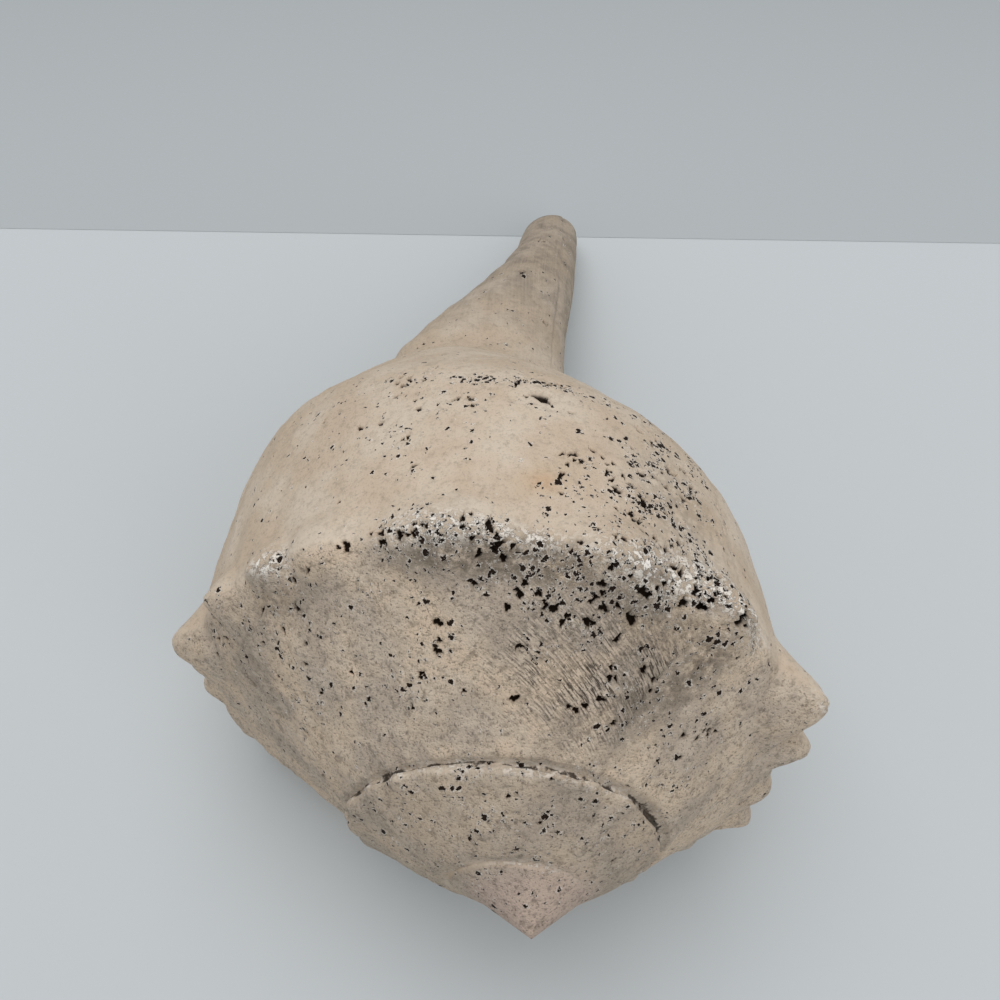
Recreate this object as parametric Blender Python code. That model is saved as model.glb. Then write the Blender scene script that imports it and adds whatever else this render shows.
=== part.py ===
"""Left-handed whelk shell lying on its opening, as one closed body with its real hollow.

Metres, +Z up. The shell lies along Y: the apex is toward -Y, the open canal toward +Y, and the table
is z = 0. The shell is first laid out about its coiling axis in millimetres, with x to the right,
y up and a the distance from the apex along the axis, and is then tilted onto the table.
"""
import math

import bmesh
import bpy
import numpy as np
from mathutils import Matrix, Vector

MM = 0.001
TAU = 2.0 * math.pi

# Growth: one whorl back from the lip, every length is smaller by this factor
WHORL_GROWTH = 1.95
LIP_AZIMUTH = math.radians(234.0)
WHORLS_SHOWN = 3.5

# Whorl outline at the lip, as radius and distance from the apex, from suture down to the canal
SUTURE = (35.3, 27.1)
RAMP = ((46.3, 34.0), (57.8, 41.6), (66.6, 47.2))
CREST = (69.0, 50.6)
SIDE = ((69.8, 66.0), (64.4, 104.0), (52.8, 122.0), (34.4, 141.0), (14.5, 156.0), (4.0, 168.0))

# The last whorl's shoulder sits lower than the growth rule gives, less so right at the lip
SHOULDER_SINK = 8.6
SINK_SHARE = (0.0, 0.33, 0.66, 0.93, 1.0, 1.0)
SINK_START = 270.0
SINK_RUN = 95.0

# The lip runs back from the suture to the shoulder and meets the canal again at the neck
LIP_SETBACK = math.radians(20.0)
LIP_REACH = math.radians(60.0)
SETBACK_CURVE = 1.5
NECK_MEETING = 2.2

# Canal: distance from the apex, centre x and y, half width and half height
CANAL = (
    (95.0, -12.5, -2.0, 20.0, 15.5),
    (134.0, -12.0, -4.0, 20.0, 15.5),
    (146.0, -7.5, -5.5, 16.0, 14.0),
    (158.0, -2.5, -7.2, 13.0, 12.2),
    (170.0, 2.0, -9.2, 10.0, 10.3),
    (182.0, 5.0, -11.4, 7.9, 8.8),
    (199.0, 7.4, -16.5, 6.0, 7.2),
)
CANAL_START = 120.0
NECK_DEPTH = 160.0
TIP_ROUNDING = 8.0
TIP_DEPTH = 199.5
BLEND_WIDTH = 8.0
BLEND_START = 65.0
BLEND_RUN = 35.0

# Wall, glaze over the whorl behind the opening, and the central pillar
WALL = 5.0
GLAZE = 2.0
PILLAR_RADIUS = 9.5
PILLAR_GAP = 1.5
CAVITY_TOP = 44.0
CAVITY_DEPTH = 154.0
CAVITY_TURNS = 1.3
CAVITY_MIDDLE = (38.0, 85.0)
CAVITY_AHEAD = math.radians(26.0)
CAVITY_AHEAD_TIP = 0.1
CAVITY_BACK_TIP = 0.25

# Groove of the open canal: distance, hollow left and right, hollow top, slot left and right
GROOVE = (
    (110.0, -30.0, -11.0, 5.0, -27.0, -12.5),
    (122.0, -30.0, -9.0, 6.0, -25.0, -11.0),
    (134.0, -27.0, -5.0, 6.0, -19.5, -7.5),
    (146.0, -18.5, -0.5, 3.0, -13.0, -4.5),
    (158.0, -11.5, 3.2, -0.5, -7.5, -0.5),
    (170.0, -5.3, 6.6, -4.5, -2.5, 3.2),
    (182.0, 0.0, 8.8, -8.0, 2.2, 7.0),
    (194.0, 3.6, 9.9, -12.2, 4.6, 8.8),
    (202.0, 4.0, 10.2, -14.0, 5.0, 8.8),
)
GROOVE_FLOOR = 2.5
SLOT_DROP = 26.0

# Knobs and spines on the shoulder: azimuth, height, half width in degrees, half length, sharpness
KNOBS = (
    (204.0, 3.0, 7.0, 6.0, 0.9),
    (188.0, 3.2, 5.5, 5.5, 0.9),
    (177.0, 3.5, 5.0, 5.5, 0.9),
    (167.0, 5.2, 7.5, 8.0, 0.9),
    (141.0, 3.0, 6.0, 6.0, 0.9),
    (128.0, 3.0, 7.0, 7.0, 0.8),
    (104.0, 2.5, 12.0, 8.0, 0.7),
    (76.0, 2.5, 11.0, 8.0, 0.7),
    (50.0, 3.5, 8.0, 7.0, 0.9),
    (21.0, 7.6, 9.0, 8.5, 0.9),
    (8.0, 5.6, 6.0, 6.0, 0.9),
    (-9.0, 4.2, 6.0, 5.5, 0.9),
    (-23.0, 4.5, 5.5, 5.0, 0.9),
    (-42.0, 2.0, 7.0, 5.0, 0.9),
    (-78.0, 7.8, 10.0, 8.0, 0.9),
)
KNOB_OUT, KNOB_BACK = 0.94, 0.34
SPIRE_KNOB = 2.6
SPIRE_KNOB_LENGTH = 7.0
SPIRE_SLIMMING = 0.17
SLIMMING_START = 1.15
SLIMMING_RUN = 1.1
APEX_RISE = 0.6

# How the shell lies, and the slab under the table that wears its resting points flat, in metres
TILT = math.radians(7.5)
WORN_FLAT = 1.6
SLAB = (0.4, 0.5, 0.04)

# Fineness of the surface: steps down the flank and canal, and round and along the hollow
FLANK_STEPS = 14
CANAL_STEPS = 8
CAVITY_STEPS = 44
CAVITY_GUIDES = 30
CAVITY_OUTER_POINTS = 15
CAVITY_INNER_POINTS = 11
GROOVE_POINTS = 9
NARROWEST_COLUMN, WIDEST_COLUMN = 2.4, 7.5
CURVE_POINTS = 600
SHARP_ANGLE = math.radians(38.0)


def through(points, steps):
    """Even points on a smooth curve through the given ones."""
    p = np.array([points[0], *points, points[-1]], dtype=float)
    p[0] = 2.0 * p[1] - p[2]
    p[-1] = 2.0 * p[-2] - p[-3]
    curve = []
    for i in range(1, len(p) - 2):
        for t in np.linspace(0.0, 1.0, 24, endpoint=False):
            a = 2.0 * p[i]
            b = p[i + 1] - p[i - 1]
            c = 2.0 * p[i - 1] - 5.0 * p[i] + 4.0 * p[i + 1] - p[i + 2]
            d = -p[i - 1] + 3.0 * p[i] - 3.0 * p[i + 1] + p[i + 2]
            curve.append(0.5 * (a + b * t + c * t * t + d * t ** 3))
    curve.append(p[-2])
    curve = np.array(curve)
    run = np.concatenate(([0.0], np.cumsum(np.linalg.norm(np.diff(curve, axis=0), axis=1))))
    at = np.linspace(0.0, run[-1], steps)
    return np.stack([np.interp(at, run, curve[:, i]) for i in range(curve.shape[1])], axis=1)


WAIST = (SUTURE[0] * WHORL_GROWTH, SUTURE[1] * WHORL_GROWTH)
FLANK = through((CREST, WAIST, *SIDE), CURVE_POINTS)


def growth(back):
    """Size of the whorl an angle back from the lip, against the size at the lip."""
    return WHORL_GROWTH ** (-back / TAU)


def sink(back):
    """How far the shoulder has dropped, for a whorl of full size."""
    share = min(1.0, max(0.0, (SINK_START - math.degrees(back)) / SINK_RUN))
    lip = max(0.0, 1.0 - back / LIP_REACH)
    return SHOULDER_SINK * share * share * (3.0 - 2.0 * share) * (1.0 - 0.5 * lip * lip)


def ramp_point(row, back):
    """One of the named points from suture to waist, for a whorl of full size."""
    radius, depth = (SUTURE, *RAMP, CREST, WAIST)[row]
    lower = depth + sink(back) * SINK_SHARE[row]
    if row >= 4:
        radius += flank_radius(lower) - flank_radius(depth)
    return radius, lower


def flank_radius(depth):
    """Radius of the lip's outline at a distance from the apex below the shoulder."""
    return float(np.interp(depth, FLANK[:, 1], FLANK[:, 0]))


def canal_at(depth):
    """Centre and half sizes of the canal's section at a distance from the apex."""
    table = np.array(CANAL)
    cx, cy, hx, hy = (float(np.interp(depth, table[:, 0], table[:, i])) for i in range(1, 5))
    past = (depth - (TIP_DEPTH - TIP_ROUNDING)) / TIP_ROUNDING
    end = math.sqrt(max(0.0, 1.0 - past * past)) if past > 0.0 else 1.0
    return cx, cy, hx * end, hy * end


def middle_at(depth):
    """The line that the section's radii are measured from: the coiling axis, then the canal's own."""
    share = max(0.0, depth - CANAL_START) / (TIP_DEPTH - CANAL_START)
    cx, cy, _, _ = canal_at(TIP_DEPTH)
    return share * cx, share * cy


def canal_radius(azimuth, depth):
    """Distance from the middle line to the canal's oval section in one direction."""
    cx, cy, hx, hy = canal_at(depth)
    mx, my = middle_at(depth)
    px, py = (mx - cx) / hx, (my - cy) / hy
    dx, dy = math.cos(azimuth) / hx, math.sin(azimuth) / hy
    a = dx * dx + dy * dy
    b = px * dx + py * dy
    c = px * px + py * py - 1.0
    return (-b + math.sqrt(max(0.0, b * b - a * c))) / a


def knob_lift(back, along):
    """Height of the knobs at an angle back from the lip and a distance along the outline."""
    turn = int(back // TAU + 1e-9)
    size = growth(back)
    lift = 0.0
    for azimuth, height, half_width, half_length, sharp in KNOBS:
        off = math.degrees(LIP_AZIMUTH - back) - azimuth
        off = (off + 180.0) % 360.0 - 180.0
        if turn > 0:
            height = SPIRE_KNOB * size * (0.75 + 0.25 * math.sin(azimuth + 2.0 * turn))
            half_length = SPIRE_KNOB_LENGTH * size
            sharp = 0.8
        across = max(0.0, 1.0 - abs(off) / half_width)
        reach = max(0.0, 1.0 - abs(along) / half_length)
        lift = max(lift, height * across ** sharp * reach)
    return lift


def columns():
    """Angles back from the lip through one whorl, closer together at the knobs."""
    angles = [0.0, 360.0]
    for azimuth, _, half_width, _, _ in KNOBS:
        back = (math.degrees(LIP_AZIMUTH) - azimuth) % 360.0
        for share in (-1.0, -0.45, 0.0, 0.45, 1.0):
            angles.append(back + share * half_width)
    angles = sorted(a for a in angles if 0.0 <= a <= 360.0)
    kept = [0.0]
    for a in angles[1:]:
        if a - kept[-1] > NARROWEST_COLUMN:
            kept.append(a)
    kept[-1] = 360.0
    filled = [0.0]
    for start, end in zip(kept, kept[1:]):
        parts = max(1, int(math.ceil((end - start) / WIDEST_COLUMN)))
        filled += [start + (end - start) * i / parts for i in range(1, parts + 1)]
    return [math.radians(a) for a in filled]


def outline_point(back, radius, depth, lift):
    """A point on the outside from its place in the whorl, in millimetres about the axis."""
    azimuth = LIP_AZIMUTH - back
    mx, my = middle_at(depth)
    early = min(1.0, max(0.0, (back / TAU - SLIMMING_START) / SLIMMING_RUN))
    radius = radius * (1.0 - SPIRE_SLIMMING * early) + KNOB_OUT * lift
    place = depth - KNOB_BACK * lift
    return Vector((mx + radius * math.cos(azimuth), my + radius * math.sin(azimuth), place))


def smooth_larger(a, b):
    """The larger of two radii, with the corner between them eased."""
    near = max(BLEND_WIDTH - abs(a - b), 0.0) / BLEND_WIDTH
    return max(a, b) + near * near * BLEND_WIDTH * 0.25


def to_table(point):
    """From the shell's own axes to the pose on the table, before it is set down."""
    sine, cosine = math.sin(TILT), math.cos(TILT)
    return Vector((point.x, point.y * sine + point.z * cosine, point.y * cosine - point.z * sine)) * MM


def outside():
    """The filled outside: whorls joined at the suture, the last one running out to the canal."""
    mesh = bmesh.new()
    turn = columns()
    per_turn = len(turn) - 1
    count = int(round(WHORLS_SHOWN * per_turn))
    waist_row = len(RAMP) + 2
    last_row = waist_row + FLANK_STEPS + CANAL_STEPS

    def back_of(i, setback):
        back = turn[i % per_turn] + TAU * (i // per_turn)
        ahead = max(0.0, 1.0 - back / LIP_REACH)
        return back + LIP_SETBACK * setback * ahead * ahead

    ids = {}
    for i in range(count + 1):
        for row in range(waist_row + 1):
            if row == 0 and i + per_turn <= count:
                continue
            back = back_of(i, min(1.0, row / (waist_row - 1.0)) ** SETBACK_CURVE)
            size = growth(back)
            radius, depth = ramp_point(row, back)
            along = math.dist((radius, depth), ramp_point(waist_row - 1, back)) * size
            lift = knob_lift(back, along) if row >= 2 else 0.0
            if i in (0, per_turn):
                lift = 0.0
            ids[i, row] = mesh.verts.new(outline_point(back, radius * size, depth * size, lift))
    for i in range(count + 1 - per_turn):
        ids[i, 0] = ids[i + per_turn, waist_row]
    for i in range(per_turn + 1):
        for step in range(1, FLANK_STEPS + CANAL_STEPS):
            row = waist_row + step
            if i == per_turn and step >= FLANK_STEPS:
                ids[i, row] = ids[0, row]
                continue
            down = step / FLANK_STEPS
            back = back_of(i, min(1.0, max(0.0, NECK_MEETING * (1.0 - down))))
            size = growth(back)
            waist = ramp_point(waist_row, back)[1] * size
            if step <= FLANK_STEPS:
                depth = waist + (NECK_DEPTH - waist) * (0.75 * down + 0.25 * down * down)
            else:
                share = (step - FLANK_STEPS) / CANAL_STEPS
                depth = NECK_DEPTH + (TIP_DEPTH - NECK_DEPTH) * math.sin(0.5 * math.pi * share) ** 0.8
            body = size * flank_radius(depth / size)
            radius = smooth_larger(body, canal_radius(LIP_AZIMUTH - back, depth))
            radius = body + (radius - body) * min(1.0, max(0.0, (depth - BLEND_START) / BLEND_RUN))
            crest = ramp_point(waist_row - 1, back)[1] * size
            lift = knob_lift(back, depth - crest) if 0 < i < per_turn else 0.0
            ids[i, row] = mesh.verts.new(outline_point(back, radius, depth, lift))
    mx, my = middle_at(TIP_DEPTH)
    tip = mesh.verts.new((mx, my, TIP_DEPTH))
    apex = mesh.verts.new((0.0, 0.0, SUTURE[1] * growth(back_of(count, 0.0)) - APEX_RISE))

    for i in range(count):
        rows = last_row - 1 if i < per_turn else waist_row
        for row in range(rows):
            corners = [ids[i, row], ids[i + 1, row], ids[i + 1, row + 1], ids[i, row + 1]]
            mesh.faces.new(corners)
    for i in range(per_turn):
        mesh.faces.new((ids[i, last_row - 1], ids[i + 1, last_row - 1], tip))
    lip = [ids[0, row] for row in range(waist_row + FLANK_STEPS + 1)]
    behind = [ids[per_turn, row] for row in range(waist_row + FLANK_STEPS - 1, waist_row, -1)]
    mesh.faces.new(lip + behind)
    rim = [ids[i, 0] for i in range(count - per_turn, count + 1)]
    rim += [ids[count, row] for row in range(1, waist_row)]
    for i, vert in enumerate(rim):
        mesh.faces.new((vert, rim[(i + 1) % len(rim)], apex))
    return mesh


def cavity():
    """The hollow that the animal lived in, swept back from the opening round the pillar."""
    shoulder = [ramp_point(row, 0.0) for row in range(1, 6)]
    wall = through((*shoulder, *SIDE), CURVE_POINTS)
    slope = np.gradient(wall, axis=0)
    slope /= np.linalg.norm(slope, axis=1)[:, None]
    inner = wall + WALL * np.stack([-slope[:, 1], slope[:, 0]], axis=1)
    inner = inner[(inner[:, 1] > CAVITY_TOP) & (inner[:, 1] < CAVITY_DEPTH)]
    inner = inner[inner[:, 0] > PILLAR_RADIUS + PILLAR_GAP]
    thinned = np.concatenate((inner[:: len(inner) // CAVITY_GUIDES], inner[-1:]))
    outer_chain = through(thinned.tolist(), CAVITY_OUTER_POINTS)
    behind = []
    for depth in np.linspace(outer_chain[-1, 1] - 2.0, outer_chain[0, 1] + 3.0, CAVITY_INNER_POINTS):
        parietal = flank_radius(depth * WHORL_GROWTH) / WHORL_GROWTH + GLAZE
        behind.append((max(parietal, PILLAR_RADIUS, 0.5 * (parietal + PILLAR_RADIUS) + 1.0), depth))
    ring = [tuple(p) for p in outer_chain] + behind
    mesh = bmesh.new()
    loops = []
    for i in range(CAVITY_STEPS + 1):
        back = -CAVITY_AHEAD + (CAVITY_TURNS * TAU + CAVITY_AHEAD) * i / CAVITY_STEPS
        size = growth(back)
        azimuth = LIP_AZIMUTH - back
        loop = []
        for radius, depth in ring:
            r, a = radius * size, depth * size
            loop.append(mesh.verts.new((r * math.cos(azimuth), r * math.sin(azimuth), a)))
        loops.append(loop)
    for here, there in zip(loops, loops[1:]):
        for j in range(len(ring)):
            n = (j + 1) % len(ring)
            mesh.faces.new((here[j], here[n], there[n], there[j]))
    ends = (-CAVITY_AHEAD - CAVITY_AHEAD_TIP, CAVITY_TURNS * TAU + CAVITY_BACK_TIP)
    for loop, back in zip((loops[0], loops[-1]), ends):
        size = growth(back)
        azimuth = LIP_AZIMUTH - back
        r, a = CAVITY_MIDDLE[0] * size, CAVITY_MIDDLE[1] * size
        end = mesh.verts.new((r * math.cos(azimuth), r * math.sin(azimuth), a))
        for j, vert in enumerate(loop):
            mesh.faces.new((vert, loop[(j + 1) % len(loop)], end))
    return mesh


def groove():
    """The open canal's hollow and the slot along its underside."""
    mesh = bmesh.new()
    loops = []
    for depth, left, right, top, slot_left, slot_right in GROOVE:
        _, cy, _, hy = canal_at(min(depth, TIP_DEPTH - TIP_ROUNDING))
        floor = cy - hy + GROOVE_FLOOR
        middle = 0.5 * (top + floor)
        half = 0.5 * (right - left)
        ring = [(slot_left, floor - SLOT_DROP), (slot_left, floor)]
        for share in np.linspace(0.0, 1.0, GROOVE_POINTS):
            turn = math.pi * (1.0 - share)
            across = 0.5 * (left + right) + half * math.cos(turn)
            ring.append((across, middle + (top - middle) * math.sin(turn)))
        ring += [(slot_right, floor), (slot_right, floor - SLOT_DROP)]
        loops.append([mesh.verts.new((x, y, depth)) for x, y in ring])
    for here, there in zip(loops, loops[1:]):
        for j in range(len(here)):
            n = (j + 1) % len(here)
            mesh.faces.new((here[j], here[n], there[n], there[j]))
    for loop in (loops[0], loops[-1]):
        mesh.faces.new(loop)
    return mesh


def make_object(name, mesh, collection, place):
    """An object from a bmesh in the shell's own axes, laid on the table by one shift."""
    for vert in mesh.verts:
        vert.co = to_table(vert.co) + place
    bmesh.ops.triangulate(mesh, faces=mesh.faces[:], ngon_method="EAR_CLIP")
    bmesh.ops.recalc_face_normals(mesh, faces=mesh.faces[:])
    data = bpy.data.meshes.new(name)
    mesh.to_mesh(data)
    mesh.free()
    made = bpy.data.objects.new(name, data)
    collection.objects.link(made)
    return made


def cut(body, cutter):
    """An exact Boolean difference kept as a modifier."""
    step = body.modifiers.new("cut " + cutter.name, "BOOLEAN")
    step.operation = "DIFFERENCE"
    step.solver = "EXACT"
    step.object = cutter
    cutter.hide_render = True
    cutter.display_type = "WIRE"


def shell_material():
    """Old bleached shell: chalky cream without a shine."""
    material = bpy.data.materials.new("Bleached shell")
    material.use_nodes = True
    shader = material.node_tree.nodes["Principled BSDF"]
    shader.inputs["Base Color"].default_value = (0.55, 0.47, 0.39, 1.0)
    shader.inputs["Roughness"].default_value = 0.75
    shader.inputs["Metallic"].default_value = 0.0
    return material


def main():
    for old in list(bpy.data.objects):
        bpy.data.objects.remove(old, do_unlink=True)
    parts = bpy.data.collections.new("Whelk shell")
    cutters = bpy.data.collections.new("Cutters")
    bpy.context.scene.collection.children.link(parts)
    bpy.context.scene.collection.children.link(cutters)

    filled = outside()
    placed = np.array([to_table(vert.co) for vert in filled.verts])
    low, high = placed.min(axis=0), placed.max(axis=0)
    place = Vector((-0.5 * (low[0] + high[0]), -0.5 * (low[1] + high[1]), -low[2] - WORN_FLAT * MM))
    shell = make_object("shell", filled, parts, place)
    shell.data.materials.append(shell_material())
    hollow = make_object("cavity_cutter", cavity(), cutters, place)
    slot = make_object("canal_cutter", groove(), cutters, place)

    table = bmesh.new()
    below = Matrix.Translation((0.0, 0.0, -0.5 * SLAB[2]))
    bmesh.ops.create_cube(table, size=1.0, matrix=below @ Matrix.Diagonal((*SLAB, 1.0)))
    data = bpy.data.meshes.new("table_cutter")
    table.to_mesh(data)
    table.free()
    flat = bpy.data.objects.new("table_cutter", data)
    cutters.objects.link(flat)

    for cutter in (hollow, slot, flat):
        cut(shell, cutter)
    shell.data.shade_smooth()
    shell.data.set_sharp_from_angle(angle=SHARP_ANGLE)


main()
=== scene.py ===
"""Looks of a large left-handed whelk shell, old and bleached, lying on its opening.

The shell is laid out about its coiling axis in millimetres, with x to the right, y up and a the
distance from the apex along the axis, and is then tilted onto the table as the solid is.
"""

import math

import bmesh
import bpy
import numpy as np
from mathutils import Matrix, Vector, kdtree, noise


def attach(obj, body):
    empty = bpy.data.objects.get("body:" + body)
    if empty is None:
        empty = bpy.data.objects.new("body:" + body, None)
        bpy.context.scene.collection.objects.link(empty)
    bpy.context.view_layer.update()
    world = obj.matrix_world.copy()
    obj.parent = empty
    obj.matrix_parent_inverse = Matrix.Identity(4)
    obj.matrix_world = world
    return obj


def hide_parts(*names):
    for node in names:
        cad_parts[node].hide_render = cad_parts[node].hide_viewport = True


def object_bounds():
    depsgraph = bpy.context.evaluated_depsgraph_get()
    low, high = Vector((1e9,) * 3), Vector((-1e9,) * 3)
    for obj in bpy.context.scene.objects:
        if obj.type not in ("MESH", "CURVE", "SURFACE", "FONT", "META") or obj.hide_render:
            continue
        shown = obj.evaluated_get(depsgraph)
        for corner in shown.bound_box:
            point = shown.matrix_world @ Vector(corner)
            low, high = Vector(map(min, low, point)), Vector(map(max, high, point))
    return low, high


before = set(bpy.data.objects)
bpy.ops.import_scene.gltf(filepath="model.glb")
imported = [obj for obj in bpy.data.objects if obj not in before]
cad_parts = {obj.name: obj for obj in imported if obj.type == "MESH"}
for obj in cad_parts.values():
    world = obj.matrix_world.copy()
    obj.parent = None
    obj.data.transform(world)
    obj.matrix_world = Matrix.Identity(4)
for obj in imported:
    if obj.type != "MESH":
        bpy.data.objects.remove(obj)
cad_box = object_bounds()

MM = 0.001
TAU = 2.0 * math.pi

# Growth: one whorl back from the lip, every length is smaller by this factor
WHORL_GROWTH = 1.95
LIP_AZIMUTH = math.radians(234.0)
WHORLS = 3.5

# Whorl outline at the lip, as radius and distance from the apex, from suture down to the canal
SUTURE = (35.3, 27.1)
RAMP = ((46.3, 34.0), (57.8, 41.6), (66.6, 47.2))
CREST = (69.0, 50.6)
WAIST = (SUTURE[0] * WHORL_GROWTH, SUTURE[1] * WHORL_GROWTH)
SIDE = ((69.8, 66.0), (64.4, 104.0), (52.8, 122.0), (34.4, 141.0), (14.5, 156.0), (4.0, 168.0))
SHOULDER_SINK = 8.6
SINK_SHARE = (0.0, 0.33, 0.66, 0.93, 1.0, 1.0)
CREST_ROW = 4
WAIST_ROW = 5

# The lip runs back from the suture to the shoulder and meets the canal again at the neck
LIP_SETBACK = math.radians(20.0)
LIP_REACH = math.radians(60.0)

# Canal: distance from the apex, centre x and y, half width and half height
CANAL = np.array((
    (95.0, -12.5, -2.0, 20.0, 15.5),
    (134.0, -12.0, -4.0, 20.0, 15.5),
    (146.0, -7.5, -5.5, 16.0, 14.0),
    (158.0, -2.5, -7.2, 13.0, 12.2),
    (170.0, 2.0, -9.2, 10.0, 10.3),
    (182.0, 5.0, -11.4, 7.9, 8.8),
    (199.0, 7.4, -16.5, 6.0, 7.2),
))
CANAL_START = 120.0
NECK_DEPTH = 160.0
TIP_ROUNDING = 8.0
TIP_DEPTH = 199.5
BLEND_WIDTH = 8.0

# Wall, glaze over the whorl behind the opening, and the central pillar
WALL = 5.0
GLAZE = 2.0
PILLAR_RADIUS = 9.5
CAVITY_DEPTH = 154.0
CAVITY_TURNS = 1.3
CAVITY_MIDDLE = (38.0, 85.0)
CAVITY_AHEAD = math.radians(26.0)

# Groove of the open canal: distance, hollow left and right, hollow top, slot left and right
GROOVE = np.array((
    (110.0, -30.0, -11.0, 5.0, -27.0, -12.5),
    (122.0, -30.0, -9.0, 6.0, -25.0, -11.0),
    (134.0, -27.0, -5.0, 6.0, -19.5, -7.5),
    (146.0, -18.5, -0.5, 3.0, -13.0, -4.5),
    (158.0, -11.5, 3.2, -0.5, -7.5, -0.5),
    (170.0, -5.3, 6.6, -4.5, -2.5, 3.2),
    (182.0, 0.0, 8.8, -8.0, 2.2, 7.0),
    (194.0, 3.6, 9.9, -12.2, 4.6, 8.8),
    (202.0, 4.0, 10.2, -14.0, 5.0, 8.8),
))

# Knobs and spines on the shoulder: azimuth, height, width in degrees after and before it in growth,
# half length and roundness of the top
KNOBS = (
    (204.0, 1.2, 6.0, 6.0, 5.0, 0.6),
    (190.0, 1.5, 5.0, 4.0, 5.0, 0.6),
    (180.0, 1.6, 4.0, 4.0, 5.0, 0.6),
    (170.5, 4.6, 8.0, 5.5, 8.0, 0.45),
    (153.5, 3.0, 4.5, 4.5, 6.0, 0.5),
    (139.0, 3.0, 6.0, 6.0, 6.0, 0.5),
    (128.0, 2.2, 7.0, 7.0, 7.0, 0.8),
    (104.0, 2.5, 12.0, 12.0, 8.0, 0.9),
    (76.0, 2.5, 11.0, 11.0, 8.0, 0.9),
    (50.0, 3.5, 8.0, 8.0, 7.0, 0.6),
    (21.0, 7.5, 9.5, 10.0, 8.5, 0.3),
    (6.5, 4.8, 6.0, 5.0, 6.0, 0.4),
    (-11.0, 1.9, 5.5, 3.5, 5.5, 0.5),
    (-24.0, 3.9, 6.5, 3.0, 5.0, 0.35),
    (-42.0, 2.0, 7.0, 4.0, 5.0, 0.6),
    (-78.0, 7.8, 10.0, 10.0, 8.0, 0.2),
)
SPIRE_KNOB = 2.6
SPIRE_SLIMMING = 0.17

# How the shell lies, and where its apex is over the middle of its outline on the table
TILT = math.radians(7.5)
APEX_PLACE = np.array((7.834, -98.843, 47.417))

# Fineness of the modelled surface: columns round one whorl and rows from suture to tip
COLUMNS = 352
RAMP_ROWS = 52
WAIST_ROWS = 3
FLANK_ROWS = 88
CANAL_ROWS = 36
SEEN_FROM, SEEN_TO = -40.0, 212.0
HIDDEN_SPACING = 2.4


def spline_weights(count, places):
    """Weights that turn points into places on the smooth curve through them."""
    reach = np.zeros((count + 2, count))
    reach[1:-1] = np.eye(count)
    reach[0] = 2.0 * reach[1] - reach[2]
    reach[-1] = 2.0 * reach[-2] - reach[-3]
    rows = []
    for place in places:
        i = min(int(place), count - 2)
        t = place - i
        before, here, there, after = reach[i:i + 4]
        rows.append(0.5 * (2.0 * here + (there - before) * t
                           + (2.0 * before - 5.0 * here + 4.0 * there - after) * t * t
                           + (3.0 * here - before - 3.0 * there + after) * t ** 3))
    return np.array(rows)


def through(points, steps):
    """Even points on a smooth curve through the given ones."""
    points = np.array(points, dtype=float)
    fine = np.linspace(0.0, len(points) - 1.0, 24 * (len(points) - 1) + 1)
    curve = spline_weights(len(points), fine) @ points
    run = np.concatenate(([0.0], np.cumsum(np.linalg.norm(np.diff(curve, axis=0), axis=1))))
    at = np.linspace(0.0, run[-1], steps)
    return np.stack([np.interp(at, run, curve[:, i]) for i in range(curve.shape[1])], axis=1)


FLANK = through((CREST, WAIST, *SIDE), 600)


def smooth_step(low, high, value):
    """0 below low, 1 above high, and an eased rise between them."""
    share = np.clip((value - low) / (high - low), 0.0, 1.0)
    return share * share * (3.0 - 2.0 * share)


def growth(back):
    """Size of the whorl an angle back from the lip, against the size at the lip."""
    return WHORL_GROWTH ** (-back / TAU)


def sink(back):
    """How far the shoulder has dropped, for a whorl of full size."""
    share = smooth_step(0.0, 95.0, 270.0 - np.degrees(back))
    lip = np.maximum(0.0, 1.0 - back / LIP_REACH)
    return SHOULDER_SINK * share * (1.0 - 0.5 * lip * lip)


def flank_radius(depth):
    """Radius of the lip's outline at a distance from the apex below the shoulder."""
    return np.interp(depth, FLANK[:, 1], FLANK[:, 0])


def named_points(back):
    """Radius and depth of the six named points from suture to waist, for whorls of full size."""
    table = np.array((SUTURE, *RAMP, CREST, WAIST))
    depth = table[:, 1] + sink(back)[..., None] * np.array(SINK_SHARE)
    radius = np.broadcast_to(table[:, 0], depth.shape).copy()
    low = slice(CREST_ROW, None)
    radius[..., low] += flank_radius(depth[..., low]) - flank_radius(table[low, 1])
    return radius, depth


def canal_at(depth):
    """Centre and half sizes of the canal's section at a distance from the apex."""
    cx, cy, hx, hy = (np.interp(depth, CANAL[:, 0], CANAL[:, i]) for i in range(1, 5))
    past = np.maximum(0.0, depth - (TIP_DEPTH - TIP_ROUNDING)) / TIP_ROUNDING
    end = np.sqrt(np.maximum(0.0, 1.0 - past * past))
    return cx, cy, hx * end, hy * end


def middle_at(depth):
    """The line that the section's radii are measured from: the coiling axis, then the canal's own."""
    share = np.maximum(0.0, depth - CANAL_START) / (TIP_DEPTH - CANAL_START)
    cx, cy, _, _ = canal_at(TIP_DEPTH)
    return share * cx, share * cy


def canal_radius(azimuth, depth):
    """Distance from the middle line to the canal's oval section in one direction."""
    cx, cy, hx, hy = canal_at(depth)
    hx, hy = np.maximum(hx, 1e-3), np.maximum(hy, 1e-3)
    mx, my = middle_at(depth)
    px, py = (mx - cx) / hx, (my - cy) / hy
    dx, dy = np.cos(azimuth) / hx, np.sin(azimuth) / hy
    a = dx * dx + dy * dy
    b = px * dx + py * dy
    c = px * px + py * py - 1.0
    return (-b + np.sqrt(np.maximum(0.0, b * b - a * c))) / a


def smooth_larger(a, b):
    """The larger of two radii, with the corner between them eased."""
    near = np.maximum(BLEND_WIDTH - np.abs(a - b), 0.0) / BLEND_WIDTH
    return np.maximum(a, b) + near * near * BLEND_WIDTH * 0.25


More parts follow.
